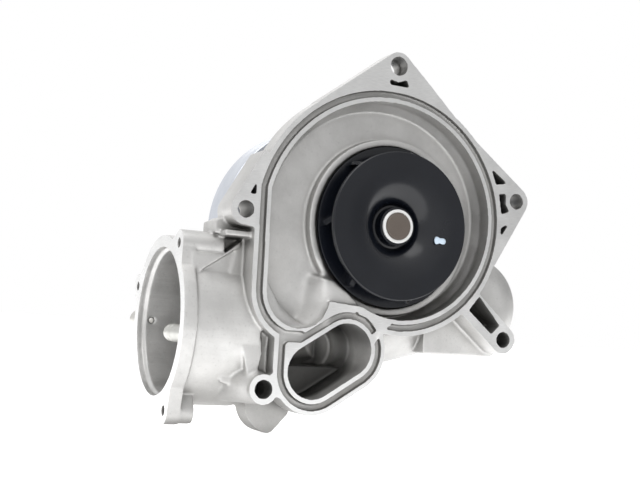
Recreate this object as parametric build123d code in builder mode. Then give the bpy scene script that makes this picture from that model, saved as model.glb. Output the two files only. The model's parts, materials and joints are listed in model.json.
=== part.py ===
"""Engine coolant pump with a built-in thermostat housing.

Units are millimetres.  +X points right and +Z up when looking at the engine
face, +Y points away from the engine towards the pulley.  The origin is on the
shaft axis in the plane of the engine flange face.
"""
from math import cos, radians, sin
import os

from build123d import *

os.makedirs("parts", exist_ok=True)

# ---------------------------------------------------------------- dimensions
flange_thickness = 15.0

# volute mouth: radius = mouth_radius + mouth_growth * angle, angle from +X
mouth_radius = 60.1
mouth_growth = 0.0969
mouth_start = -112.0
mouth_end = 170.0
pocket_center = (-55.0, -40.0)
pocket_radius = 19.5
volute_floor = 13.0
volute_back = 26.0

# sealing rim, measured outwards from the mouth edge
lip_width = 2.5
groove_outer = 6.0
land_outer = 8.8
groove_depth = 3.0

# oval port
port_low = (-45.25, -82.25)
port_high = (-25.6, -69.7)
port_radius = 14.5
port_depth = 28.0

# fixing ears: x, z, hole radius, lug radius
top_ear = (-3.6, 90.2)
right_ear = (79.2, 22.4)
low_right_ear = (74.3, -58.9)
low_left_ear = (-72.8, -92.3)
left_ear = (-89.2, 0.7)
left_ear_depth = 22.0
ear_hole = 4.5
ear_lug = 8.0

# vent stub behind the chamber
vent_spot = (-109.5, -60.0)
vent_spigot = 5.2

# thermostat chamber, axis parallel to X
chamber_y = 50.0
chamber_z = -60.0
chamber_face = -117.6
chamber_wall = 45.0
chamber_bore = 40.5
chamber_inner = 36.0
chamber_end = -70.0
chamber_ears = [(20.6, -18.5), (95.0, -40.6), (27.9, -106.8)]
chamber_lug = 7.6

# drive side
boss_radius = 22.0
boss_end = 88.0
bearing_radius = 15.0
bearing_start = 38.0
bearing_end = 86.0
shaft_radius = 8.0
nose_radius = 7.5
ball_radius = 2.95
ball_pitch = 10.2
ball_y = 50.0
roller_radius = 2.05
roller_pitch = 10.1
roller_y = 73.0
roller_length = 12.0

# impeller
disc_radius = 41.3
disc_front = -6.0
shroud_radius = 45.0
shroud_front = 5.0
eye_radius = 26.0
vane_count = 7

# pulley
pulley_radius = 69.3
pulley_front = 94.0
pulley_back = 120.0
pulley_bolt_circle = 21.0


# ------------------------------------------------------------------- helpers
def spiral_point(angle, outward):
    """Point on the volute mouth spiral, moved outwards by a distance."""
    radius = mouth_radius + mouth_growth * angle + outward
    return (radius * cos(radians(angle)), radius * sin(radians(angle)))


def pocket_point(angle, outward):
    """Point on the pocket arc at the end of the volute."""
    radius = pocket_radius + outward
    return (
        pocket_center[0] + radius * cos(radians(angle)),
        pocket_center[1] + radius * sin(radians(angle)),
    )


def volute_outline(outward, tongue):
    """Closed volute outline; tongue lists the points back to the start."""
    steps = 6
    step = (mouth_end - mouth_start) / steps
    for number in range(steps):
        first = mouth_start + number * step
        ThreePointArc(
            spiral_point(first, outward),
            spiral_point(first + step / 2, outward),
            spiral_point(first + step, outward),
        )
    Line(spiral_point(mouth_end, outward), pocket_point(180, outward))
    ThreePointArc(
        pocket_point(180, outward),
        pocket_point(240, outward),
        pocket_point(300, outward),
    )
    Polyline(
        pocket_point(300, outward), *tongue, spiral_point(mouth_start, outward)
    )


def port_outline(outward):
    """Closed stadium outline of the oval port."""
    radius = port_radius + outward
    along = 32.6
    across = (cos(radians(along + 90)) * radius, sin(radians(along + 90)) * radius)
    ahead = (cos(radians(along)) * radius, sin(radians(along)) * radius)
    top_a = (port_low[0] + across[0], port_low[1] + across[1])
    top_b = (port_high[0] + across[0], port_high[1] + across[1])
    low_a = (port_low[0] - across[0], port_low[1] - across[1])
    low_b = (port_high[0] - across[0], port_high[1] - across[1])
    Line(top_a, top_b)
    ThreePointArc(top_b, (port_high[0] + ahead[0], port_high[1] + ahead[1]), low_b)
    Line(low_b, low_a)
    ThreePointArc(low_a, (port_low[0] - ahead[0], port_low[1] - ahead[1]), top_a)


def flange_plane(depth):
    """Plane parallel to the engine face, depth behind it, facing the engine."""
    return Plane.XZ.offset(-depth)


def side_plane(x):
    """Plane facing +X with local x along +Y and local y along +Z."""
    return Plane.YZ.offset(x)


def weep_plane(distance):
    """Plane across the weep passage at a distance from the shaft axis."""
    along = Vector(cos(radians(-8)), 0, sin(radians(-8)))
    return Plane(origin=along * distance + Vector(0, 34, 0), z_dir=along)


def turned(point, angle):
    """Point turned about the origin by an angle in degrees."""
    return (
        point[0] * cos(radians(angle)) - point[1] * sin(radians(angle)),
        point[0] * sin(radians(angle)) + point[1] * cos(radians(angle)),
    )


def tube_plane(start, end):
    """Plane at start whose normal points to end."""
    return Plane(origin=start, z_dir=Vector(*end) - Vector(*start))


# points that close the volute outline around the tongue, at three depths
shallow_tongue = [(-41.6, -53.4), (-38.5, -47.0), (-38.0, -44.0), (-28.4, -44.9)]
deep_tongue = [(-41.6, -53.4), (-38.6, -47.0), (-39.0, -40.5), (-41.0, -31.5), (-34.3, -32.2)]
inner_tongue = [(-45.0, -51.5), (-42.4, -46.5), (-42.6, -40.5), (-44.3, -33.5), (-36.5, -28.5)]

# ------------------------------------------------------------ housing casting
with BuildSketch() as port_groove_edge:
    with BuildLine():
        port_outline(groove_outer)
    make_face()
    with BuildLine():
        Polyline((-65.75, -82), (-65.75, -61), (-52, -61), (-45, -82), close=True)
    make_face()

with BuildSketch() as port_lip:
    with BuildLine():
        port_outline(lip_width)
    make_face()
    with BuildLine():
        Polyline(
            (-62.25, -82), (-62.25, -68.6), (-60.6, -67), (-53, -67), (-45, -82),
            close=True,
        )
    make_face()

with BuildSketch() as volute_lip:
    with BuildLine():
        volute_outline(lip_width, [])
    make_face()
    add(port_groove_edge.sketch, mode=Mode.SUBTRACT)

with BuildSketch() as groove_shape:
    with BuildLine():
        volute_outline(groove_outer, [])
    make_face()
    add(port_groove_edge.sketch)
    add(volute_lip.sketch, mode=Mode.SUBTRACT)
    add(port_lip.sketch, mode=Mode.SUBTRACT)
    with BuildLine():
        Polyline(
            (-20, -47), (-20, -50.0), (-15, -51.6), (-11, -54.8), (-7.8, -57.8),
            (-11.8, -60.8), (-8.9, -65.0), (-6.6, -61.0), (-4.2, -57.4), (0, -55.0),
            (0, -47), close=True,
        )
    make_face(mode=Mode.SUBTRACT)

with BuildSketch() as flange_outline:
    with BuildLine():
        volute_outline(land_outer, [])
    make_face()
    with BuildLine():
        port_outline(land_outer - 0.3)
    make_face()
    with BuildLine():
        Polyline((-68.4, -82), (-68.4, -58), (-50, -58), (-45, -82), close=True)
    make_face()
    for ear in (top_ear, right_ear, low_right_ear, low_left_ear):
        with Locations(ear):
            Circle(ear_lug)
    # webs from the ears to the rim
    with BuildLine():
        Polyline(
            (-8.5, 96.5), (-50.0, 64.6), (0, 50), (46.0, 56.0), (16, 83.5), (1.6, 96.2),
            close=True,
        )
    make_face()
    with BuildLine():
        Polyline(
            (84.1, 29.0), (43.5, 58.8), (50, 20), (60, -20), (66.4, -16.0), (86.4, 18.5),
            close=True,
        )
    make_face()
    with BuildLine():
        Polyline((57, -33.6), (79.9, -53.2), (69, -64.9), (47.5, -47.4), (40, -38), close=True)
    make_face()
    with BuildLine():
        Polyline((-70, -84.9), (-60, -78), (-56, -99), (-66, -95.9), (-69, -99), close=True)
    make_face()

with BuildSketch() as flange_windows:
    with BuildLine():
        Polyline(
            (-8.8, 79.2), (-8.8, 82.0), (-3.6, 80.9), (1.7, 82.9), (3.6, 78.9),
            close=True,
        )
    make_face()
    with BuildLine():
        Polyline((60.7, 39.9), (72.2, 32.2), (64.5, 30.9), close=True)
    make_face()
    with BuildLine():
        Polyline(
            (66.9, 25.6), (71.6, 26.0), (71.6, 20.2), (74.4, 15.9), (69.2, 13.9),
            close=True,
        )
    make_face()
    with BuildLine():
        Polyline((75.1, 9.3), (69.3, 5.8), (69.1, 0.2), close=True)
    make_face()
    with BuildLine():
        Polyline((56.8, -34.9), (50.2, -43.2), (66.0, -56.0), (71.4, -50.7), close=True)
    make_face()
    fillet(flange_windows.vertices(), radius=0.7)

with BuildPart() as pump_housing:
    with BuildSketch(flange_plane(0)):
        add(flange_outline.sketch)
    extrude(amount=-flange_thickness)

    # volute body and its rear wall
    with BuildSketch(flange_plane(flange_thickness - 1)):
        with BuildLine():
            volute_outline(5.0, [])
        make_face()
    with BuildSketch(flange_plane(volute_back)):
        with BuildLine():
            volute_outline(1.5, [])
        make_face()
    loft(ruled=True)

    # port body, reaching back into the chamber
    with BuildSketch(flange_plane(flange_thickness)):
        with BuildLine():
            port_outline(4.5)
        make_face()
    extrude(amount=-38)

    # long boss of the left ear with its outer rib
    with BuildSketch(flange_plane(0)):
        with Locations(left_ear):
            Circle(8.4)
        with BuildLine():
            Polyline((-96.5, 5.0), (-80.5, 33.5), (-77, 30), (-88, 8), close=True)
        make_face()
        with BuildLine():
            Polyline((-90, -7.5), (-80, -9), (-80, 9), (-90, 9), close=True)
        make_face()
    extrude(amount=-left_ear_depth)
    # floor behind the triangular pocket above that ear
    with BuildSketch(flange_plane(9)):
        with BuildLine():
            Polyline((-95, 5), (-80, 33), (-76, 0), close=True)
        make_face()
    extrude(amount=-6)

    # thermostat chamber: barrel, face ring, three bolt bosses
    with BuildSketch(side_plane(chamber_face)):
        with Locations((chamber_y, chamber_z)):
            Circle(chamber_wall)
    extrude(amount=chamber_end - 4 - chamber_face)
    with BuildSketch(side_plane(chamber_face)):
        with Locations((chamber_y, chamber_z)):
            Circle(chamber_wall + 2.2)
        for spot in chamber_ears:
            with Locations(spot):
                Circle(chamber_lug - 0.4)
        with BuildLine():
            Polyline((50, -25), (20.6, -11.3), (13.6, -21.0), (14, -60), close=True)
        make_face()
        with BuildLine():
            Polyline((75, -22), (92.2, -33.5), (98, -47.6), (88, -62), close=True)
        make_face()
        with BuildLine():
            Polyline((15, -84), (20.9, -107.6), (33, -112.0), (54, -104), close=True)
        make_face()
    extrude(amount=7.5)
    # long boss of the upper bolt, running along the barrel to the flange
    with BuildSketch(side_plane(chamber_face)):
        with Locations(chamber_ears[0]):
            Circle(chamber_lug - 0.4)
        with BuildLine():
            Polyline((20.6, -11.3), (18.0, -20.0), (30, -28), (38, -18), close=True)
        make_face()
    extrude(amount=23)
    with BuildSketch(side_plane(chamber_face)):
        with Locations(chamber_ears[2]):
            Circle(chamber_lug - 1.0)
        with BuildLine():
            Polyline((22.0, -104), (34, -109), (40, -98), (26, -95), close=True)
        make_face()
    extrude(amount=15)
    with BuildSketch(side_plane(chamber_face)):
        with Locations(chamber_ears[1]):
            Circle(chamber_lug - 0.8)
    extrude(amount=24)

    # shelf rib under the left ear and shoulder beside the rim
    with BuildSketch(flange_plane(4)):
        with BuildLine():
            Polyline((-98, -10.4), (-82, -10.4), (-82, -13.4), (-98, -13.4), close=True)
        make_face()
    extrude(amount=-40)
    with BuildSketch(flange_plane(14)):
        with BuildLine():
            Polyline((-88, -18), (-78, -7), (-60, -60), (-66, -98), (-92, -90), (-92, -40), close=True)
        make_face()
    extrude(amount=-30)
    # pad under the left ear and the back wall of the recess below the shelf
    with BuildSketch(flange_plane(13)):
        with BuildLine():
            Polyline(
                (-101, -5.5), (-98.5, -4.2), (-95.5, -2.5), (-91, -6.0), (-86, -6.2),
                (-83, -12), (-101, -12), close=True,
            )
        make_face()
    extrude(amount=-20)
    with BuildSketch(flange_plane(22)):
        with BuildLine():
            Polyline((-97, -11), (-82, -11), (-82, -24), (-97, -24), close=True)
        make_face()
    extrude(amount=-22)
    # gusset between the upper bolt boss, the barrel and the rim
    with BuildSketch(flange_plane(13)):
        with BuildLine():
            Polyline((-112, -23), (-95, -23), (-86, -15.5), (-86, -18), (-112, -36), close=True)
        make_face()
    extrude(amount=-20)
    with BuildSketch(flange_plane(15)):
        with BuildLine():
            Polyline((-112, -35.4), (-86, -17), (-80, -17), (-80, -45), (-112, -45), close=True)
        make_face()
    extrude(amount=-20)
    # low web beside the rim, above the lower left ear
    with BuildSketch(flange_plane(6)):
        with BuildLine():
            Polyline(
                (-79, -61), (-73.4, -66), (-72.5, -74), (-74.6, -85), (-80, -86), (-84, -70),
                close=True,
            )
        make_face()
    extrude(amount=-34)
    with BuildSketch(flange_plane(9.5)):
        with BuildLine():
            Polyline((-75, -62), (-67, -56), (-67, -84), (-75, -86), close=True)
        make_face()
    extrude(amount=-30)

    # boss of the lower left ear, running back into the barrel
    with BuildSketch(flange_plane(0)):
        with Locations(low_left_ear):
            Circle(ear_lug)
    extrude(amount=-45)
    with BuildSketch(flange_plane(3)):
        with Locations(low_left_ear):
            Circle(ear_lug)
    with BuildSketch(flange_plane(34)):
        with Locations((-84, -87)):
            Circle(14)
    loft()

    # suction duct, tapering from the chamber to the right-hand dome
    with BuildSketch(side_plane(chamber_end - 8)):
        with Locations((chamber_y, chamber_z)):
            Circle(43)
    with BuildSketch(side_plane(-20)):
        with Locations((46, -54)):
            Circle(33)
    with BuildSketch(side_plane(38)):
        with Locations((42, -46)):
            Circle(25)
    loft()
    with BuildSketch(flange_plane(flange_thickness)):
        with BuildLine():
            Polyline((60, -14), (30, -20), (30, -69.5), (76, -69.5), (90, -60), close=True)
        make_face()
        with Locations((68, -84.5)):
            Rectangle(80, 30, mode=Mode.SUBTRACT)
    extrude(amount=-44)

    # rounded dome at the end of the duct
    with BuildSketch(Plane((68, 0, -40), x_dir=(1, 0, 0), z_dir=(0, 0, 1))):
        with BuildLine():
            Polyline((26.5, 55.5), (22.0, 59), (0, 59), (0, flange_thickness), (16, flange_thickness))
            ThreePointArc((16, flange_thickness), (26.2, 19.6), (30, 30))
            Polyline((30, 30), (30, 51), (26.5, 55.5))
        make_face()
    revolve(axis=Axis((68, 0, -40), (0, 1, 0)))

    # annular suction chamber around the shaft and the bearing boss
    with BuildSketch(flange_plane(volute_back - 6)):
        Circle(41)
    extrude(amount=-34, taper=4)
    with BuildSketch(flange_plane(volute_back - 6)):
        Circle(boss_radius + 2)
    extrude(amount=-(boss_end - volute_back + 6), taper=1.5)
    # stiffening ribs between boss and casting
    with BuildSketch(flange_plane(24)):
        with PolarLocations(0, 6, start_angle=30):
            with Locations((33, 0)):
                Rectangle(42, 4.5)
    extrude(amount=-42, taper=3)

    # rounded lug under the duct
    with BuildSketch(flange_plane(24)):
        with BuildLine():
            ThreePointArc((-73.5, -103.0), (-69.0, -112.8), (-59.0, -117.3))
            Polyline(
                (-59.0, -117.3), (-56.8, -116.6), (-47.6, -106.6), (-44, -80), (-73.5, -80),
                (-73.5, -103.0),
            )
        make_face()
    extrude(amount=-15)

    # hollows -------------------------------------------------------------
    # gasket groove
    with BuildSketch(flange_plane(0)):
        add(groove_shape.sketch)
    extrude(amount=-groove_depth, mode=Mode.SUBTRACT)

    # shallow step over the tongue, then the scroll itself
    with BuildSketch(flange_plane(0)):
        with BuildLine():
            volute_outline(0, shallow_tongue)
        make_face()
    extrude(amount=-2.2, mode=Mode.SUBTRACT)
    with BuildSketch(flange_plane(0)):
        with BuildLine():
            volute_outline(0, deep_tongue)
        make_face()
        Circle(46)
    extrude(amount=-8, mode=Mode.SUBTRACT)
    with BuildSketch(flange_plane(8)):
        with BuildLine():
            volute_outline(0, deep_tongue)
        make_face()
    with BuildSketch(flange_plane(volute_floor)):
        with BuildLine():
            volute_outline(-4, inner_tongue)
        make_face()
    loft(ruled=True, mode=Mode.SUBTRACT)
    # crescent ledge at the lower left of the pocket
    with BuildSketch(flange_plane(5)):
        with BuildLine():
            ThreePointArc((-74.6, -28.5), (-65.2, -45.8), (-49.0, -57.8))
            ThreePointArc((-49.0, -57.8), pocket_point(225, 1.5), (-76.0, -36.0))
            Line((-76.0, -36.0), (-74.6, -28.5))
        make_face()
    extrude(amount=-9)
    # ramp that rises from the pocket floor to the tongue
    with BuildSketch(flange_plane(2.2)):
        with BuildLine():
            Polyline(
                (-44, -57), (-41.6, -53.4), (-38.6, -47), (-39, -40.5), (-41, -31.5),
                (-36, -32), (-36, -57), close=True,
            )
        make_face()
    with BuildSketch(flange_plane(volute_floor + 0.5)):
        with BuildLine():
            Polyline(
                (-58, -59), (-53, -54), (-49.5, -47), (-49, -40.5), (-47, -29),
                (-36, -30), (-36, -59), close=True,
            )
        make_face()
    loft(ruled=True)
    # wear land standing in the scroll around the impeller
    with BuildSketch(flange_plane(7)):
        Circle(49.5)
    extrude(amount=-8)

    # recess for the shroud and the eye
    with BuildSketch(flange_plane(7)):
        Circle(shroud_radius + 0.7)
    extrude(amount=-2.6, mode=Mode.SUBTRACT)
    with BuildSketch(flange_plane(8)):
        Circle(eye_radius + 1.8)
    extrude(amount=-14, mode=Mode.SUBTRACT)

    # annular suction space
    with BuildSketch(flange_plane(volute_back - 6)):
        Circle(35.5)
        Circle(boss_radius, mode=Mode.SUBTRACT)
    extrude(amount=-27, mode=Mode.SUBTRACT)

    # oval port: full depth, then the upper part on into the chamber
    with BuildSketch(flange_plane(0)):
        with BuildLine():
            port_outline(0)
        make_face()
    extrude(amount=-port_depth, mode=Mode.SUBTRACT)
    with BuildSketch(flange_plane(port_depth)):
        with BuildLine():
            port_outline(-0.6)
        make_face()
        with Locations((-40, -95)):
            Rectangle(60, 30, mode=Mode.SUBTRACT)
    extrude(amount=-24, mode=Mode.SUBTRACT)

    # thermostat seat, chamber and suction passage
    with BuildSketch(side_plane(chamber_face)):
        with Locations((chamber_y, chamber_z)):
            Circle(chamber_bore)
    extrude(amount=4, mode=Mode.SUBTRACT)
    with BuildSketch(side_plane(chamber_face)):
        with Locations((chamber_y, chamber_z)):
            Circle(chamber_bore - 1.6)
    extrude(amount=chamber_end - chamber_face, mode=Mode.SUBTRACT)
    with BuildSketch(side_plane(chamber_end - 1)):
        with Locations((chamber_y, chamber_z)):
            Circle(36)
    with BuildSketch(side_plane(-22)):
        with Locations((45, -52)):
            Circle(25)
    loft(mode=Mode.SUBTRACT)
    with BuildSketch(tube_plane((-42, 45, -50), (-14, 38, -20))):
        Circle(17)
    extrude(amount=30, mode=Mode.SUBTRACT)

    # keep the boss solid where the passage crossed it, then bore it
    with BuildSketch(flange_plane(18)):
        Circle(boss_radius)
    extrude(amount=-(boss_end - 18))
    with BuildSketch(flange_plane(18)):
        Circle(16)
    extrude(amount=-12, mode=Mode.SUBTRACT)
    with BuildSketch(flange_plane(30)):
        Circle(13)
    extrude(amount=-9, mode=Mode.SUBTRACT)
    with BuildSketch(flange_plane(bearing_start)):
        Circle(bearing_radius)
    extrude(amount=-(boss_end - bearing_start + 1), mode=Mode.SUBTRACT)

    # windows and fixing holes through the flange
    with BuildSketch(flange_plane(0)):
        add(flange_windows.sketch)
    extrude(amount=-14, mode=Mode.SUBTRACT)
    with BuildSketch(flange_plane(13)):
        with BuildLine():
            Polyline((57.0, -36.0), (51.2, -43.0), (65.8, -54.8), (70.4, -50.6), close=True)
        make_face()
    extrude(amount=-12, mode=Mode.SUBTRACT)
    with BuildSketch(flange_plane(0)):
        for ear in (top_ear, right_ear, low_right_ear, left_ear):
            with Locations(ear):
                Circle(ear_hole)
    extrude(amount=-70, mode=Mode.SUBTRACT)
    with BuildSketch(flange_plane(0)):
        with Locations(low_left_ear):
            Circle(3.9)
    extrude(amount=-19, mode=Mode.SUBTRACT)
    with BuildSketch(flange_plane(0)):
        with Locations(top_ear):
            Circle(5.3)
        with Locations(low_left_ear):
            Circle(4.9)
    extrude(amount=-8, mode=Mode.SUBTRACT)

    # bolt holes of the chamber face
    with BuildSketch(side_plane(chamber_face)):
        for spot in chamber_ears:
            with Locations(spot):
                Circle(2.6)
    extrude(amount=20, mode=Mode.SUBTRACT)

    # hollow of the right-hand dome with its core plug seat
    with BuildSketch(flange_plane(28)):
        with Locations((68, -38)):
            Circle(13)
    extrude(amount=-20, mode=Mode.SUBTRACT)
    with BuildSketch(flange_plane(47)):
        with Locations((68, -38)):
            Circle(11)
    extrude(amount=-10, mode=Mode.SUBTRACT)

    # weep passage from the leak space out through the suction chamber
    with BuildSketch(weep_plane(18)):
        Circle(6.0)
    extrude(amount=24.4)
    with BuildSketch(weep_plane(11)):
        Circle(3.0)
    extrude(amount=32, mode=Mode.SUBTRACT)

    # bores of the probe and the vent
    with BuildSketch(flange_plane(7)):
        with Locations((-108, -66)):
            Circle(5.2)
    extrude(amount=-10, mode=Mode.SUBTRACT)
    with BuildSketch(flange_plane(91)):
        with Locations(vent_spot):
            Circle(8.0)
    extrude(amount=-7)
    with BuildSketch(flange_plane(92)):
        with Locations(vent_spot):
            Circle(vent_spigot)
    extrude(amount=-6, mode=Mode.SUBTRACT)
    with BuildSketch(flange_plane(80)):
        with Locations(vent_spot):
            Circle(1.6)
    extrude(amount=-14, mode=Mode.SUBTRACT)

pump_housing.part.label = "pump_housing"
export_step(pump_housing.part, "parts/pump_housing.step")

# -------------------------------------------------- pieces fixed to the casting
with BuildPart() as bearing_outer_ring:
    with BuildSketch(Plane.XY):
        with BuildLine():
            Polyline(
                (12.2, bearing_start), (bearing_radius, bearing_start),
                (bearing_radius, bearing_end), (12.2, bearing_end), close=True,
            )
        make_face()
        with Locations((ball_pitch, ball_y)):
            Circle(ball_radius + 0.05, mode=Mode.SUBTRACT)
    revolve(axis=Axis.Y)
    chamfer(bearing_outer_ring.edges().filter_by(GeomType.CIRCLE).group_by(SortBy.RADIUS)[-1], 0.5)
bearing_outer_ring.part.label = "bearing_outer_ring"
export_step(bearing_outer_ring.part, "parts/bearing_outer_ring.step")


def bearing_seal(near, far):
    """Rubber-faced seal washer between bearing ring and shaft."""
    with BuildPart() as seal:
        with BuildSketch(Plane.XY):
            with BuildLine():
                Polyline(
                    (shaft_radius + 0.3, near), (12.2, near), (12.2, far),
                    (10.4, far), (9.6, far - 0.6), (shaft_radius + 0.3, far - 0.6),
                    close=True,
                )
            make_face()
        revolve(axis=Axis.Y)
    return seal.part


bearing_seal_front = bearing_seal(39.6, 41.6)
bearing_seal_front.label = "bearing_seal_front"
export_step(bearing_seal_front, "parts/bearing_seal_front.step")

bearing_seal_rear = bearing_seal(82.4, 84.4)
bearing_seal_rear.label = "bearing_seal_rear"
export_step(bearing_seal_rear, "parts/bearing_seal_rear.step")

with BuildPart() as seal_cup:
    with BuildSketch(Plane.XY):
        with BuildLine():
            Polyline(
                (16.0, 18.0), (18.6, 18.0), (18.6, 16.8), (14.8, 16.8), (14.8, 28.6),
                (10.2, 28.6), (10.2, 29.8), (16.0, 29.8), close=True,
            )
        make_face()
    revolve(axis=Axis.Y)
seal_cup.part.label = "seal_cup"
export_step(seal_cup.part, "parts/seal_cup.step")

with BuildPart() as seal_bellows:
    with BuildSketch(Plane.XY):
        with BuildLine():
            Polyline(
                (9.6, 17.4), (14.2, 17.4), (14.2, 19.4), (10.8, 19.4), (10.8, 22.0),
                (11.9, 23.5), (10.8, 25.0), (10.8, 26.6), (14.6, 26.6), (14.6, 28.4),
                (9.6, 28.4), (9.6, 25.4), (10.6, 23.5), (9.6, 21.6), close=True,
            )
        make_face()
    revolve(axis=Axis.Y)
seal_bellows.part.label = "seal_bellows"
export_step(seal_bellows.part, "parts/seal_bellows.step")

with BuildPart() as seal_spring:
    with BuildLine() as spring_path:
        Helix(pitch=1.9, height=5.7, radius=13.4)
    with BuildSketch(Plane(spring_path.line @ 0, z_dir=spring_path.line % 0)):
        Circle(0.55)
    sweep(is_frenet=True)
seal_spring.part = seal_spring.part.moved(Location((0, 25.9, 0), (90, 0, 0)))
seal_spring.part.label = "seal_spring"
export_step(seal_spring.part, "parts/seal_spring.step")

with BuildPart() as seal_carbon_ring:
    with BuildSketch(Plane.XY):
        with BuildLine():
            Polyline(
                (9.0, 14.6), (11.4, 14.6), (11.4, 15.8), (12.2, 15.8), (12.2, 17.4),
                (9.0, 17.4), close=True,
            )
        make_face()
    revolve(axis=Axis.Y)
seal_carbon_ring.part.label = "seal_carbon_ring"
export_step(seal_carbon_ring.part, "parts/seal_carbon_ring.step")

# ---------------------------------------------------------------------- rotor
with BuildPart() as pump_shaft:
    with BuildSketch(Plane.XY):
        with BuildLine():
            Polyline(
                (0, -3.4), (nose_radius - 0.4, -3.4), (nose_radius, -3.0),
                (nose_radius, 32.0), (shaft_radius, 33.0), (shaft_radius, 101.5),
                (shaft_radius - 0.8, 102.5), (0, 102.5), close=True,
            )
        make_face()
        with Locations((ball_pitch, ball_y)):
            Circle(ball_radius + 0.05, mode=Mode.SUBTRACT)
    revolve(axis=Axis.Y)
pump_shaft.part.label = "pump_shaft"
export_step(pump_shaft.part, "parts/pump_shaft.step")

with BuildPart() as impeller_insert:
    with BuildSketch(Plane.XY):
        with BuildLine():
            Polyline(
                (nose_radius + 0.3, -2.6), (9.2, -2.6), (9.4, -2.4), (9.4, 3.2),
                (10.4, 3.2), (10.4, 5.2), (9.4, 5.2), (9.4, 9.4), (nose_radius, 9.4),
                (nose_radius, -2.3), close=True,
            )
        make_face()
    revolve(axis=Axis.Y)
impeller_insert.part.label = "impeller_insert"
export_step(impeller_insert.part, "parts/impeller_insert.step")

dish_root = (13.2, 3.2)
dish_edge = 34.0


def dish_curve():
    """Soft dish of the front disc, from the hub recess out to the flat rim."""
    return Spline(
        dish_root, (16.5, -0.4), (21.5, -3.7), (27.5, disc_front + 0.6), (dish_edge, disc_front),
        tangents=((0.45, -0.9), (1, 0)),
    )


with BuildPart() as impeller_body:
    with BuildSketch(Plane.XY):
        with BuildLine():
            dish_curve()
            Polyline(
                (dish_edge, disc_front), (disc_radius - 0.5, disc_front),
                (disc_radius, disc_front + 0.5),
                (disc_radius, disc_front + 2.6), (29.0, disc_front + 3.0),
                (19.6, 3.6), (15.6, 8.2), (13.4, 9.4), (9.4, 9.4), (9.4, 5.2),
                (10.4, 5.2), (10.4, 3.2), (9.4, 3.2), (9.4, -1.6), (10.6, -1.6), (10.9, 4.5),
                (12.2, 4.8), dish_root,
            )
        make_face()
    revolve(axis=Axis.Y)
    # swept-back vanes between the disc and the shroud
    with BuildSketch(flange_plane(-3.4)):
        for number in range(vane_count):
            angle = number * 360 / vane_count
            with BuildLine():
                ThreePointArc(
                    turned((17.5, 2.4), angle),
                    turned((30.5, 9.0), angle),
                    turned((37.0, 21.5), angle),
                )
                Line(turned((37.0, 21.5), angle), turned((38.8, 20.0), angle))
                ThreePointArc(
                    turned((38.8, 20.0), angle),
                    turned((31.8, 7.0), angle),
                    turned((18.0, 0.2), angle),
                )
                Line(turned((18.0, 0.2), angle), turned((17.5, 2.4), angle))
            make_face()
    extrude(amount=-(shroud_front + 3.4))
    # open dish in front of the hub
    with BuildSketch(Plane.XY):
        with BuildLine():
            dish_curve()
            Polyline(
                (dish_edge, disc_front), (dish_edge, disc_front - 2), (10.9, disc_front - 2),
                (10.9, 4.5), (12.2, 4.8), dish_root,
            )
        make_face()
        # trims the vane tips to the slant between the two discs
        with BuildLine():
            Polyline(
                (disc_radius, -3.4), (44.9, shroud_front), (44.9, 6.0), (60.0, 6.0),
                (60.0, -3.4), close=True,
            )
        make_face()
    revolve(axis=Axis.Y, mode=Mode.SUBTRACT)
impeller_body.part.label = "impeller_body"
export_step(impeller_body.part, "parts/impeller_body.step")

with BuildPart() as impeller_shroud:
    with BuildSketch(Plane.XY):
        with BuildLine():
            Polyline(
                (23.8, shroud_front), (shroud_radius, shroud_front), (shroud_radius, 7.1),
                (27.4, 7.6), (eye_radius, 9.0), (eye_radius, 16.0), (24.4, 16.0),
                (23.8, 15.4), close=True,
            )
        make_face()
    revolve(axis=Axis.Y)
impeller_shroud.part.label = "impeller_shroud"
export_step(impeller_shroud.part, "parts/impeller_shroud.step")

with BuildPart() as seal_seat_boot:
    with BuildSketch(Plane.XY):
        with BuildLine():
            Polyline(
                (nose_radius, 9.4), (12.6, 9.4), (12.6, 11.2), (9.3, 11.2), (9.3, 14.0),
                (nose_radius, 14.0), close=True,
            )
        make_face()
    revolve(axis=Axis.Y)
seal_seat_boot.part.label = "seal_seat_boot"
export_step(seal_seat_boot.part, "parts/seal_seat_boot.step")

with BuildPart() as seal_seat_ring:
    with BuildSketch(Plane.XY):
        with Locations((10.85, 12.875)):
            Rectangle(3.1, 3.35)
    revolve(axis=Axis.Y)
seal_seat_ring.part.label = "seal_seat_ring"
export_step(seal_seat_ring.part, "parts/seal_seat_ring.step")

with BuildPart() as leak_slinger:
    with BuildSketch(Plane.XY):
        with BuildLine():
            Polyline(
                (shaft_radius, 33.2), (9.2, 33.2), (11.8, 32.2), (12.2, 33.0),
                (9.6, 34.2), (9.6, 36.6), (shaft_radius, 36.6), close=True,
            )
        make_face()
    revolve(axis=Axis.Y)
leak_slinger.part.label = "leak_slinger"
export_step(leak_slinger.part, "parts/leak_slinger.step")

with BuildPart() as pulley_hub:
    with BuildSketch(Plane.XY):
        with BuildLine():
            Polyline(
                (shaft_radius, 90.5), (12.6, 90.5), (13.4, 91.3), (13.4, 97.0),
                (29.0, 97.0), (29.5, 97.5), (29.5, 101.0), (12.4, 101.0), (12.4, 104.4),
                (11.8, 105.0), (shaft_radius + 0.6, 105.0), (shaft_radius, 104.4),
                close=True,
            )
        make_face()
    revolve(axis=Axis.Y)
    with BuildSketch(flange_plane(101)):
        with PolarLocations(pulley_bolt_circle, 4, start_angle=45):
            Circle(2.5)
    extrude(amount=5, mode=Mode.SUBTRACT)
pulley_hub.part.label = "pulley_hub"
export_step(pulley_hub.part, "parts/pulley_hub.step")

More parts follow.
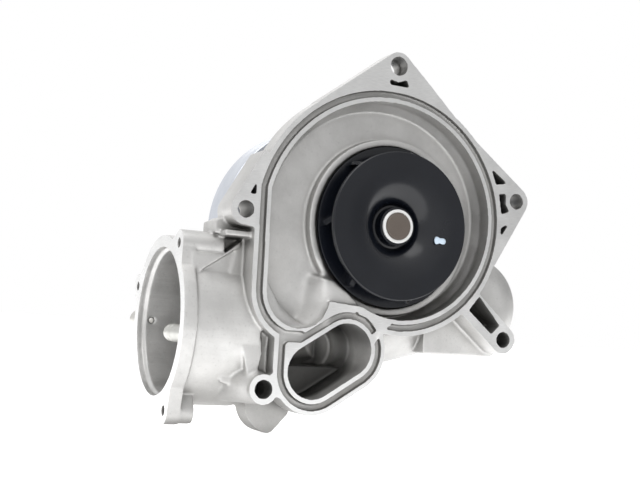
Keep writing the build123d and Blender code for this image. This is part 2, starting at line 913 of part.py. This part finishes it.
with BuildPart() as pulley:
    with BuildSketch(Plane.XY):
        with BuildLine():
            Polyline(
                (12.4, 101.0), (34.0, 101.0), (42.0, 105.0), (60.0, 105.0),
                (66.3, 100.0), (66.3, pulley_front), (pulley_radius - 0.6, pulley_front),
                (pulley_radius, pulley_front + 0.6), (pulley_radius, pulley_back - 0.6),
                (pulley_radius - 0.6, pulley_back), (66.3, pulley_back), (66.3, 108.8),
                (62.0, 107.8), (41.0, 107.8), (33.0, 103.8), (12.4, 103.8),
                close=True,
            )
        make_face()
    revolve(axis=Axis.Y)
    with BuildSketch(flange_plane(110)):
        with PolarLocations(pulley_bolt_circle, 4, start_angle=45):
            Circle(3.3)
        with PolarLocations(51.5, 6):
            Circle(6.5)
    extrude(amount=12, mode=Mode.SUBTRACT)
pulley.part.label = "pulley"
export_step(pulley.part, "parts/pulley.step")

with BuildPart() as pulley_bolts:
    with BuildSketch(flange_plane(103.8)):
        with PolarLocations(pulley_bolt_circle, 4, start_angle=45):
            Circle(7.2)
    extrude(amount=-1.0)
    with BuildSketch(flange_plane(104.8)):
        with PolarLocations(pulley_bolt_circle, 4, start_angle=45):
            RegularPolygon(radius=5.0, side_count=6, major_radius=False)
    extrude(amount=-5.0)
    with BuildSketch(flange_plane(104)):
        with PolarLocations(pulley_bolt_circle, 4, start_angle=45):
            Circle(2.5)
    extrude(amount=7.0)
pulley_bolts.part.label = "pulley_bolts"
export_step(pulley_bolts.part, "parts/pulley_bolts.step")

# -------------------------------------------------------- bearing rolling sets
with BuildPart() as ball_set:
    with Locations(flange_plane(ball_y)):
        with PolarLocations(ball_pitch, 8):
            Sphere(ball_radius)
ball_set.part.label = "ball_set"
export_step(ball_set.part, "parts/ball_set.step")

with BuildPart() as ball_cage:
    with BuildSketch(flange_plane(ball_y - 4.4)):
        Circle(11.5)
        Circle(8.9, mode=Mode.SUBTRACT)
    extrude(amount=-8.0)
    for number in range(8):
        along = Vector(cos(radians(number * 45)), 0, sin(radians(number * 45)))
        with BuildSketch(Plane(origin=along * 7 + Vector(0, ball_y, 0), z_dir=along)):
            Circle(ball_radius + 0.1)
        extrude(amount=6, mode=Mode.SUBTRACT)
ball_cage.part.label = "ball_cage"
export_step(ball_cage.part, "parts/ball_cage.step")

with BuildPart() as roller_set:
    with BuildSketch(flange_plane(roller_y - roller_length / 2)):
        with PolarLocations(roller_pitch, 10):
            Circle(roller_radius)
    extrude(amount=-roller_length)
roller_set.part.label = "roller_set"
export_step(roller_set.part, "parts/roller_set.step")

with BuildPart() as roller_cage:
    with BuildSketch(flange_plane(roller_y - roller_length / 2 - 2)):
        Circle(11.2)
        Circle(9.0, mode=Mode.SUBTRACT)
    extrude(amount=-(roller_length + 4))
    with BuildSketch(flange_plane(roller_y - roller_length / 2)):
        with PolarLocations(roller_pitch, 10):
            Circle(roller_radius)
    extrude(amount=-roller_length, mode=Mode.SUBTRACT)
roller_cage.part.label = "roller_cage"
export_step(roller_cage.part, "parts/roller_cage.step")

# ------------------------------------------------------ small fittings
with BuildPart() as core_plug:
    with BuildSketch(Plane.XY):
        with BuildLine():
            Polyline(
                (0, 50.0), (9.2, 50.0), (11.0, 51.8), (11.0, 57.0), (9.8, 57.0),
                (9.8, 52.2), (8.8, 51.2), (0, 51.2), close=True,
            )
        make_face()
    revolve(axis=Axis.Y)
core_plug.part = core_plug.part.moved(Location((68, 0, -38)))
core_plug.part.label = "core_plug"
export_step(core_plug.part, "parts/core_plug.step")

with BuildPart() as weep_cap:
    with BuildSketch(weep_plane(42.4)):
        Circle(4.2)
    extrude(amount=1.4)
    with BuildSketch(weep_plane(38.4)):
        Circle(3.0)
        Circle(2.1, mode=Mode.SUBTRACT)
    extrude(amount=4.0)
weep_cap.part.label = "weep_cap"
export_step(weep_cap.part, "parts/weep_cap.step")

with BuildPart() as chamber_probe:
    with BuildSketch(Plane.XY):
        with BuildLine():
            Polyline(
                (0, 7.0), (5.2, 7.0), (5.2, 40.0), (4.6, 41.0), (4.6, 43.0), (5.2, 44.0),
                (5.2, 47.0), (4.4, 48.2), (4.4, 50.2), (4.9, 51.0), (4.9, 53.0),
                (3.4, 54.6), (3.0, 59.0), (2.0, 60.0), (0, 60.0), close=True,
            )
        make_face()
    revolve(axis=Axis.Y)
chamber_probe.part = chamber_probe.part.moved(Location((-108, 0, -66)))
chamber_probe.part.label = "chamber_probe"
export_step(chamber_probe.part, "parts/chamber_probe.step")

with BuildPart() as vent_nipple:
    with BuildSketch(Plane.XY):
        with BuildLine():
            Polyline(
                (3.2, 92.0), (vent_spigot, 92.0), (vent_spigot, 98.0), (6.2, 98.0),
                (6.2, 115.5), (5.7, 117.4), (4.6, 118.4), (3.2, 118.4), close=True,
            )
        make_face()
    revolve(axis=Axis.Y)
vent_nipple.part = vent_nipple.part.moved(Location((vent_spot[0], 0, vent_spot[1])))
vent_nipple.part.label = "vent_nipple"
export_step(vent_nipple.part, "parts/vent_nipple.step")
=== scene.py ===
"""Looks of the coolant pump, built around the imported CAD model."""

import json
import math

import bmesh
import bpy
import numpy as np
from mathutils import Matrix, Vector


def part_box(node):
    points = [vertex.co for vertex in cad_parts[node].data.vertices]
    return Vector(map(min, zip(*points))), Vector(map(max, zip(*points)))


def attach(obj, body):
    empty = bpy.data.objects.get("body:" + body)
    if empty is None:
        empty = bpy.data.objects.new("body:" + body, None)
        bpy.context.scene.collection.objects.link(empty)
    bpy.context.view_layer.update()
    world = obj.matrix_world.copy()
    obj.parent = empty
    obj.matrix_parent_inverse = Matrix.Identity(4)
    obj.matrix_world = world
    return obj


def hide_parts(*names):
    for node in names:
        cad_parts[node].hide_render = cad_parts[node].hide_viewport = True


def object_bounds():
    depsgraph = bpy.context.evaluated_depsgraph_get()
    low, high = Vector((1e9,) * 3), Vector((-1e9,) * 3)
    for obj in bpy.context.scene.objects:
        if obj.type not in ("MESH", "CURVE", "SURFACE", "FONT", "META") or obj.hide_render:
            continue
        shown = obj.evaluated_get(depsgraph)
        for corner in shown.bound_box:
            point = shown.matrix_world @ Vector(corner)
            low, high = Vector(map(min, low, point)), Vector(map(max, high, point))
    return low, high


MM = 0.001
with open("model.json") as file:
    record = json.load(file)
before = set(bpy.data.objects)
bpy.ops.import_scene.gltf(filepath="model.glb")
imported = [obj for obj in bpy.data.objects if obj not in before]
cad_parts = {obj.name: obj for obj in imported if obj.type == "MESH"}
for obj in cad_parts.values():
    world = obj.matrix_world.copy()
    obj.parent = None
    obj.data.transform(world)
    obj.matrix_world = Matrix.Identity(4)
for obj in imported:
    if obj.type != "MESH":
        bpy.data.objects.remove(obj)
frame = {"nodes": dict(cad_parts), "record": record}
cad_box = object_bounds()
nodes = frame["nodes"]
engine_face = 0.0
chamber_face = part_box("pump_housing")[0][0]
port_middle = Vector((-40.0, 33.0, -74.0)) * MM
pocket_middle = np.array((-47.0, 9.0, -42.0)) * MM

# ------------------------------------------------------------------ materials


class Shader:
    """Small helper that builds a node tree with short calls."""

    def __init__(self, name):
        self.material = bpy.data.materials.new(name)
        self.material.use_nodes = True
        self.tree = self.material.node_tree
        self.tree.nodes.clear()
        self.out = self.add("ShaderNodeOutputMaterial")
        self.bsdf = self.add("ShaderNodeBsdfPrincipled")
        self.link(self.bsdf, "BSDF", self.out, "Surface")
        self.geometry = self.add("ShaderNodeNewGeometry")

    def add(self, kind, **settings):
        node = self.tree.nodes.new(kind)
        for key, value in settings.items():
            setattr(node, key, value)
        return node

    def link(self, source, output, target, socket):
        self.tree.links.new(source.outputs[output], target.inputs[socket])

    def put(self, node, socket, value):
        """Links a (node, output) pair or sets a plain value."""
        if isinstance(value, tuple) and len(value) == 2 and hasattr(value[0], "outputs"):
            self.link(value[0], value[1], node, socket)
        elif value is not None:
            node.inputs[socket].default_value = value

    def noise(self, scale, detail=3.0, rough=0.55, distortion=0.0, stretch=None):
        """Noise over the piece's own place, optionally stretched along an axis."""
        node = self.add("ShaderNodeTexNoise")
        node.inputs["Scale"].default_value = scale
        node.inputs["Detail"].default_value = detail
        node.inputs["Roughness"].default_value = rough
        node.inputs["Distortion"].default_value = distortion
        where = (self.geometry, "Position")
        if stretch:
            mapping = self.add("ShaderNodeMapping")
            mapping.inputs["Scale"].default_value = stretch
            self.put(mapping, "Vector", where)
            where = (mapping, "Vector")
        self.put(node, "Vector", where)
        return (node, "Fac")

    def ramp(self, value, low, high, to_low=0.0, to_high=1.0):
        """Maps the span low..high of a value to to_low..to_high, clamped."""
        node = self.add("ShaderNodeMapRange")
        node.inputs["From Min"].default_value = low
        node.inputs["From Max"].default_value = high
        node.inputs["To Min"].default_value = to_low
        node.inputs["To Max"].default_value = to_high
        self.put(node, "Value", value)
        return (node, "Result")

    def math(self, operation, first, second=None):
        node = self.add("ShaderNodeMath", operation=operation)
        self.put(node, 0, first)
        self.put(node, 1, second)
        return (node, "Value")

    def mix(self, factor, first, second):
        node = self.add("ShaderNodeMix", data_type="RGBA")
        self.put(node, "Factor", factor)
        self.put(node, 6, first)
        self.put(node, 7, second)
        return (node, 2)

    def occlusion(self, distance):
        """0 where the surface is shut in within the distance, 1 where it is open."""
        node = self.add("ShaderNodeAmbientOcclusion", samples=6)
        node.inputs["Distance"].default_value = distance
        return (node, "AO")

    def bumps(self, layers, normal=None):
        """Stacks bump layers given as (height, strength, distance)."""
        for height, strength, distance in layers:
            node = self.add("ShaderNodeBump")
            node.inputs["Strength"].default_value = strength
            node.inputs["Distance"].default_value = distance
            self.put(node, "Height", height)
            if normal:
                self.put(node, "Normal", normal)
            normal = (node, "Normal")
        self.put(self.bsdf, "Normal", normal)

    def rounded(self, radius):
        """A normal that rounds off edges by the radius."""
        node = self.add("ShaderNodeBevel", samples=4)
        node.inputs["Radius"].default_value = radius
        return (node, "Normal")


def rgb(red, green, blue):
    return (red, green, blue, 1.0)


def darker(colour, share):
    """The colour with each channel multiplied by share."""
    return rgb(*[channel * share for channel in colour])


face_depth = (0.15 * MM, 0.45 * MM)
face_slope = (0.80, 0.97)


def near_plane(s, axis, place, facing):
    """1 on a face that lies in the plane axis = place and looks along facing."""
    where = s.add("ShaderNodeSeparateXYZ")
    s.link(s.geometry, "Position", where, "Vector")
    offset = s.math("ABSOLUTE", s.math("SUBTRACT", (where, axis), place))
    inside = s.ramp(offset, face_depth[0], face_depth[1], 1.0, 0.0)
    normal = s.add("ShaderNodeSeparateXYZ")
    s.link(s.geometry, "Normal", normal, "Vector")
    straight = s.ramp(s.math("MULTIPLY", (normal, axis), facing), *face_slope)
    return s.math("MULTIPLY", inside, straight)


def near_point(s, centre, reach, fade):
    """1 within reach of a point, falling to 0 over the fade distance."""
    away = s.add("ShaderNodeVectorMath", operation="DISTANCE")
    s.link(s.geometry, "Position", away, 0)
    away.inputs[1].default_value = centre
    return s.ramp((away, "Value"), reach, reach + fade, 1.0, 0.0)


stain_colour = rgb(0.36, 0.34, 0.31)
# Near-black colour of the painted shade inside the port.
port_shade_colour = rgb(0.045, 0.044, 0.042)
corner_reach = 11 * MM
hollow_reach = 60 * MM
port_reach = 27 * MM
port_fade = 5 * MM
cast_metallic = 0.95
milled_gloss = 0.12


def cast_metal(name, skin, shade_colour, machined):
    """Blasted die-cast aluminium: cloudy tone, fine grain, painted shade in corners, deep hollows
    and the port, milled faces.
    """
    s = Shader(name)
    cloud = s.ramp(s.noise(30.0, 5.0, 0.62), 0.34, 0.68)
    tone = s.mix(cloud, rgb(*skin), darker(skin, 0.80))
    # Painted shade: corners that ambient occlusion finds shut in are darkened towards the shade
    # colour.
    corner = s.ramp(s.occlusion(corner_reach), 0.08, 0.82)
    tone = s.mix(corner, rgb(*shade_colour), tone)
    speck = s.ramp(s.noise(700.0, 2.0, 0.5), 0.60, 0.76)
    tone = s.mix(s.math("MULTIPLY", speck, 0.30), tone, darker(skin, 0.55))
    stain = s.ramp(s.noise(9.0, 3.0, 0.6, 0.6), 0.58, 0.80)
    tone = s.mix(s.math("MULTIPLY", stain, 0.26), tone, stain_colour)
    on_engine_face = near_plane(s, "Y", engine_face, -1.0)
    on_chamber_face = near_plane(s, "X", chamber_face, -1.0)
    milled = s.math("MAXIMUM", on_engine_face, on_chamber_face)
    feed = s.noise(240.0, 2.0, 0.5, stretch=(1.0, 1.0, 14.0))
    bright = s.mix(s.ramp(feed, 0.35, 0.65), rgb(*machined), darker(machined, 0.90))
    bright_or_skin = s.mix(milled, tone, bright)
    # Painted shade: surfaces shut in over the wider hollow reach are darkened further towards the
    # shade colour, milled faces too.
    hollow = s.ramp(s.occlusion(hollow_reach), 0.12, 0.55, 0.42, 1.0)
    shade = s.mix(hollow, rgb(*shade_colour), bright_or_skin)
    # Painted shade: a near-black patch round the middle of the port, where the inside of the passage
    # lies in shadow.
    port_shaded = s.math("MULTIPLY", near_point(s, port_middle, port_reach, port_fade), 0.86)
    s.put(s.bsdf, "Base Color", s.mix(port_shaded, shade, port_shade_colour))
    s.bsdf.inputs["Metallic"].default_value = cast_metallic
    rough = s.ramp(s.noise(70.0, 3.0), 0.3, 0.7, 0.43, 0.60)
    s.put(s.bsdf, "Roughness", s.math("SUBTRACT", rough, s.math("MULTIPLY", milled, milled_gloss)))
    skin_height = s.math("SUBTRACT", 1.0, milled)
    grain = s.math("MULTIPLY", s.noise(1500.0, 2.0, 0.6), skin_height)
    flow = s.math("MULTIPLY", s.noise(120.0, 3.0, 0.5), skin_height)
    s.bumps(((flow, 0.30, 0.5 * MM), (grain, 0.35, 0.12 * MM), (feed, 0.05, 0.05 * MM)))
    return s.material


turning_line_scale = 2600.0
turned_edge = 0.4 * MM


def turned_metal(name, colour, metallic=1.0, rough=0.28):
    """Metal turned about the Y axis: fine circular lines and a faint tone change."""
    s = Shader(name)
    split = s.add("ShaderNodeSeparateXYZ")
    s.link(s.geometry, "Position", split, "Vector")
    square = [s.math("MULTIPLY", (split, a), (split, a)) for a in "XZ"]
    radius = s.math("SQRT", s.math("ADD", *square))
    lines = s.add("ShaderNodeTexNoise", noise_dimensions="2D")
    pair = s.add("ShaderNodeCombineXYZ")
    s.put(pair, "X", radius)
    s.put(pair, "Y", (split, "Y"))
    s.put(lines, "Vector", (pair, "Vector"))
    lines.inputs["Scale"].default_value = turning_line_scale
    tone = s.ramp(s.noise(45.0), 0.3, 0.7)
    s.put(s.bsdf, "Base Color", s.mix(tone, rgb(*colour), darker(colour, 0.86)))
    s.bsdf.inputs["Metallic"].default_value = metallic
    s.put(s.bsdf, "Roughness", s.ramp(s.noise(90.0), 0.3, 0.7, rough, rough + 0.12))
    s.bumps((((lines, "Fac"), 0.12, 0.06 * MM),), s.rounded(turned_edge))
    return s.material


moulded_edge = 0.5 * MM


def moulded(name, colour, rough=0.30, grain=0.10, gloss=0.5):
    """Moulded plastic or rubber: fine grain, slightly uneven gloss."""
    s = Shader(name)
    tone = s.ramp(s.noise(35.0, 4.0), 0.3, 0.7)
    lighter = rgb(*[channel * 1.3 + 0.001 for channel in colour])
    s.put(s.bsdf, "Base Color", s.mix(tone, rgb(*colour), lighter))
    s.put(s.bsdf, "Roughness", s.ramp(s.noise(50.0, 4.0), 0.3, 0.75, rough, rough + 0.08))
    s.bsdf.inputs["Specular IOR Level"].default_value = gloss
    s.bumps(
        ((s.noise(18.0, 2.0), 0.10, 0.5 * MM), (s.noise(1800.0), grain, 0.06 * MM)),
        s.rounded(moulded_edge),
    )
    return s.material


materials = {
    "cast_aluminium": cast_metal(
        "cast_skin", (0.66, 0.655, 0.645), (0.20, 0.196, 0.188), (0.80, 0.80, 0.795)
    ),
    "pulley_metal": turned_metal("pulley_satin", (0.66, 0.69, 0.75), rough=0.30),
    "bearing_steel": turned_metal("bearing_ground", (0.60, 0.61, 0.62), rough=0.18),
    "shaft_steel": turned_metal("shaft_end", (0.15, 0.125, 0.107), metallic=0.5, rough=0.50),
    "insert_steel": turned_metal("insert_bright", (0.93, 0.93, 0.92), metallic=0.35, rough=0.30),
    "hub_steel": turned_metal("hub_turned", (0.46, 0.47, 0.49), rough=0.32),
    "fastener_steel": turned_metal("fastener_zinc", (0.58, 0.58, 0.55), rough=0.30),
    "plug_steel": turned_metal("plug_pressed", (0.62, 0.61, 0.58), rough=0.30),
    "impeller_plastic": moulded("impeller_moulded", (0.0035, 0.0045, 0.0075), rough=0.20, gloss=0.5),
    "cage_plastic": moulded("cage_moulded", (0.42, 0.30, 0.17), rough=0.45),
    "seal_rubber": moulded("rubber_black", (0.012, 0.012, 0.013), rough=0.60, grain=0.3, gloss=0.3),
    "carbon": moulded("carbon_lapped", (0.03, 0.03, 0.033), rough=0.35),
    "ceramic": moulded("ceramic_lapped", (0.72, 0.70, 0.64), rough=0.15),
    "probe_steel": turned_metal("probe_turned", (0.60, 0.60, 0.57), rough=0.34),
}
for entry in frame["record"]["subparts"]:
    node = nodes[entry["node"]]
    node.data.materials.clear()
    node.data.materials.append(materials[entry["material_slot"]])

# --------------------------------------------------------------------- pieces


def mesh_arrays(mesh):
    """Vertex positions and edge ends as arrays."""
    points = np.empty(len(mesh.vertices) * 3, dtype=np.float32)
    mesh.vertices.foreach_get("co", points)
    ends = np.empty(len(mesh.edges) * 2, dtype=np.int32)
    mesh.edges.foreach_get("vertices", ends)
    return points.reshape(-1, 3).astype(np.float64), ends.reshape(-1, 2)


def applied(piece):
    """The piece's mesh with its modifiers worked in."""
    seen = piece.evaluated_get(bpy.context.evaluated_depsgraph_get())
    mesh = bpy.data.meshes.new_from_object(seen)
    piece.modifiers.clear()
    piece.data = mesh
    return mesh


def relax(mesh, rounds, weight):
    """Rounds the edges of a dense mesh, each point as strongly as weight(points) says."""
    points, ends = mesh_arrays(mesh)
    count = np.bincount(ends.ravel(), minlength=len(points)).astype(np.float64)
    pull = 0.5 * weight(points)[:, None]
    for _ in range(rounds):
        total = np.empty_like(points)
        for axis in range(3):
            here = np.bincount(ends[:, 0], points[ends[:, 1], axis], len(points))
            there = np.bincount(ends[:, 1], points[ends[:, 0], axis], len(points))
            total[:, axis] = here + there
        points += pull * (total / count[:, None] - points)
    mesh.vertices.foreach_set("co", points.astype(np.float32).ravel())
    mesh.update()


lip_depth = 3.3 * MM
lip_softness = 0.2
skin_softness = 1.0


def flatten(mesh, reach):
    """Moves points that lie close to a milled face into it, so that its edges stay crisp."""
    points = mesh_arrays(mesh)[0]
    for axis, place in ((1, engine_face), (0, chamber_face)):
        near = np.abs(points[:, axis] - place) < reach
        points[near, axis] = place
    mesh.vertices.foreach_set("co", points.astype(np.float32).ravel())
    mesh.update()


def cast_softness(points):
    """0 in the milled faces, a little on the thin lips behind them, 1 on the cast skin."""
    depth = np.minimum(np.abs(points[:, 1] - engine_face), np.abs(points[:, 0] - chamber_face))
    behind = np.where(depth < lip_depth, lip_softness, skin_softness)
    return np.where(depth < 0.02 * MM, 0.0, behind)


def pocket_softness(points):
    """1 in the pocket where the scroll ends, fading out round it and towards the lip."""
    reach = 21 * MM
    fade = 6 * MM
    lip = 1.2 * MM
    lip_fade = 1.5 * MM
    away = np.linalg.norm(points - pocket_middle, axis=1)
    inside = np.clip((reach - away) / fade, 0, 1)
    below_lip = np.clip((points[:, 1] - engine_face - lip) / lip_fade, 0, 1)
    return inside * below_lip


def housing_casting():
    """The CAD casting with the soft edges and filled corners that die casting gives."""
    voxel = 0.6 * MM
    most_triangles = 196000
    sharpest = math.radians(34)
    edge_rounds = 4
    pocket_rounds = 60
    piece = bpy.data.objects.new("housing_casting", nodes["pump_housing"].data.copy())
    bpy.context.scene.collection.objects.link(piece)
    grid = piece.modifiers.new("grid", "REMESH")
    grid.mode = "VOXEL"
    grid.voxel_size = voxel
    mesh = applied(piece)
    flatten(mesh, 0.6 * voxel)
    relax(mesh, edge_rounds, cast_softness)
    relax(mesh, pocket_rounds, pocket_softness)
    thin = piece.modifiers.new("thin", "DECIMATE")
    thin.ratio = min(1.0, most_triangles / (2 * len(mesh.polygons)))
    mesh = applied(piece)
    mesh.shade_smooth()
    mesh.set_sharp_from_angle(angle=sharpest)
    mesh.materials.clear()
    mesh.materials.append(materials["cast_aluminium"])
    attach(piece, "housing")
    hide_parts("pump_housing")


housing_casting()


def paint_dab():
    """Two-pronged dab of marking paint on the front disc, laid on as a thin domed film."""
    film = bmesh.new()
    disc_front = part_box("impeller_body")[0][1]
    outline = (
        (20.9, -5.6), (21.6, -3.6), (23.6, -3.4), (24.4, -4.4), (26.0, -4.3), (28.6, -4.2),
        (29.6, -6.0), (28.6, -8.2), (26.0, -8.0), (24.6, -7.2), (23.2, -8.6), (21.4, -8.0),
    )
    centre = Vector(np.mean(outline, axis=0))
    rings = []
    film_steps = ((1.0, -0.02), (0.92, 0.10), (0.6, 0.17), (0.2, 0.19))
    for share, height in film_steps:
        ring = []
        for corner in outline:
            spot = centre.lerp(Vector(corner), share)
            ring.append(film.verts.new((spot.x * MM, disc_front - height * MM, spot.y * MM)))
        rings.append(ring)
    for outer, inner in zip(rings, rings[1:]):
        for k in range(len(outline)):
            n = (k + 1) % len(outline)
            film.faces.new((outer[k], outer[n], inner[n], inner[k]))
    film.faces.new(rings[-1])
    film.faces.new(rings[0][::-1])
    bmesh.ops.recalc_face_normals(film, faces=film.faces)
    mesh = bpy.data.meshes.new("paint_dab")
    film.to_mesh(mesh)
    film.free()
    piece = bpy.data.objects.new("paint_dab", mesh)
    bpy.context.scene.collection.objects.link(piece)
    smooth = piece.modifiers.new("smooth", "SUBSURF")
    smooth.levels = smooth.render_levels = 1
    mesh = applied(piece)
    mesh.shade_smooth()
    mesh.materials.append(moulded("marking_paint", (0.50, 0.60, 0.70), rough=0.35))
    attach(piece, "rotor")


paint_dab()

# ------------------------------------------------------------- camera, lights
camera_data = bpy.data.cameras.new("camera")
camera_data.sensor_width = 36.0
camera_data.lens = 60.75  # millimetres, from the perspective of the round openings
camera_data.clip_end = 200.0
camera = bpy.data.objects.new("camera", camera_data)
bpy.context.scene.collection.objects.link(camera)
camera_right = Vector((0.90543, -0.42004, 0.06126))
camera_up = Vector((-0.09098, -0.05107, 0.99454))
camera_back = Vector((-0.41462, -0.90607, -0.08445))
turn = Matrix((camera_right, camera_up, camera_back)).transposed().to_4x4()
camera.matrix_world = Matrix.Translation(Vector((-286.1, -525.0, -60.6)) * MM) @ turn
bpy.context.scene.camera = camera


def area_light(name, place, target, size, power):
    """A soft white panel of the given size in metres and power in watts."""
    data = bpy.data.lights.new(name, "AREA")
    data.shape = "RECTANGLE"
    data.size, data.size_y = size
    data.energy = power
    lamp = bpy.data.objects.new(name, data)
    bpy.context.scene.collection.objects.link(lamp)
    lamp.location = place
    lamp.rotation_euler = (Vector(target) - Vector(place)).to_track_quat("-Z", "Y").to_euler()


area_light("key_top", (-0.35, -0.35, 0.95), (0, 0, 0), (0.8, 0.8), 3.2)
area_light("rim_back", (0.45, 0.95, 0.5), (0, 0.05, 0), (0.8, 0.6), 1.2)

# The room is brighter behind and above than in front, and a little darker at the right.
world = bpy.data.worlds.new("studio")
bpy.context.scene.world = world
world.use_nodes = True
tree = world.node_tree
tree.nodes.clear()


def world_node(kind, **inputs):
    node = tree.nodes.new(kind)
    for socket, value in inputs.items():
        node.inputs[socket.replace("_", " ")].default_value = value
    return node


def shade_along(axis, **span):
    """Brightness that changes along one axis of the view direction."""
    node = world_node("ShaderNodeMapRange", **span)
    tree.links.new(split.outputs[axis], node.inputs["Value"])
    return node.outputs["Result"]


def plus(first, second):
    node = world_node("ShaderNodeMath")
    tree.links.new(first, node.inputs[0])
    tree.links.new(second, node.inputs[1])
    return node.outputs["Value"]


white = (1, 1, 1, 1)
out = world_node("ShaderNodeOutputWorld")
mix = world_node("ShaderNodeMixShader")
path = world_node("ShaderNodeLightPath")
backdrop = world_node("ShaderNodeBackground", Color=white, Strength=1.0)
room = world_node("ShaderNodeBackground", Color=white)
coords = world_node("ShaderNodeTexCoord")
split = world_node("ShaderNodeSeparateXYZ")
tree.links.new(coords.outputs["Generated"], split.inputs["Vector"])
back = shade_along("Y", From_Min=-1.0, To_Min=0.62, To_Max=0.70)
across = shade_along("X", From_Max=0.8, To_Min=0.20, To_Max=-0.25)
above = shade_along("Z", From_Min=0.1, To_Max=0.30)
tree.links.new(plus(plus(back, across), above), room.inputs["Strength"])
tree.links.new(path.outputs["Is Camera Ray"], mix.inputs["Fac"])
tree.links.new(room.outputs["Background"], mix.inputs[1])
tree.links.new(backdrop.outputs["Background"], mix.inputs[2])
tree.links.new(mix.outputs["Shader"], out.inputs["Surface"])

bpy.context.scene.view_settings.view_transform = "Standard"

# ---------------------------------------------------------------------- floor
floor_mesh = bpy.data.meshes.new("floor")
half = 60.0
front = -0.30
floor_z = cad_box[0][2] - 0.5 * MM
floor_corners = ((-half, front), (half, front), (half, half), (-half, half))
floor_mesh.from_pydata([(x, y, floor_z) for x, y in floor_corners], [], [(0, 1, 2, 3)])
floor = bpy.data.objects.new("floor", floor_mesh)
bpy.context.scene.collection.objects.link(floor)
s = Shader("floor_paper")
s.put(s.bsdf, "Base Color", s.mix(s.noise(6.0), rgb(0.90, 0.90, 0.90), rgb(0.94, 0.94, 0.94)))
s.bsdf.inputs["Roughness"].default_value = 0.9
s.bsdf.inputs["Emission Color"].default_value = rgb(1, 1, 1)
s.bsdf.inputs["Emission Strength"].default_value = 0.86
floor_mesh.materials.append(s.material)
